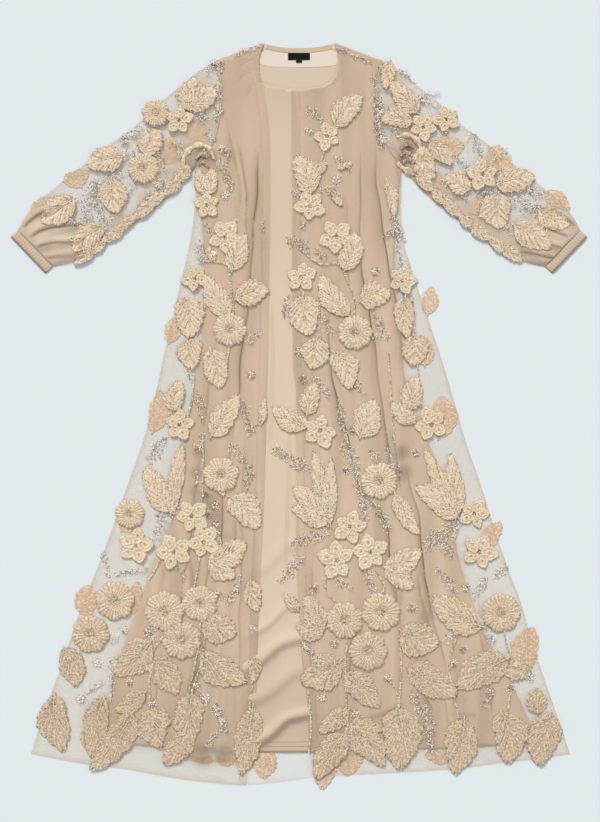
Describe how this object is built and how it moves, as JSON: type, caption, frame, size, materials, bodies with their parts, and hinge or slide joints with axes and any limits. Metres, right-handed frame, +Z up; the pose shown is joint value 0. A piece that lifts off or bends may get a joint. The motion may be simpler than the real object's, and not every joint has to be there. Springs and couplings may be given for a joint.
{
  "type": "abaya",
  "caption": "Open-fronted abaya in net with corded floral applique over its own satin slip, gathered cuffs, laid flat on its back.",
  "frame": {"origin": "centre of the garment's footprint, on the surface it lies on", "axes": "+Y from the hem to the neck, +X to the viewer's right seen from above, +Z up from the surface"},
  "size_m": [1.152, 1.4884, 0.0107],
  "materials": {
    "net": "matte",
    "satin": "satin",
    "facing": "matte",
    "label": "matte"
  },
  "bodies": {
    "root": {"net_back": "net", "net_front_left": "net", "net_front_right": "net", "sleeve_left": "net", "sleeve_right": "net", "cuff_left": "net", "cuff_right": "net", "neck_band_left": "net", "neck_band_right": "net", "neck_binding": "net", "satin_back": "satin", "satin_front": "satin", "neck_facing": "facing", "label": "label", "size_tab": "label"}
  },
  "joints": []
}
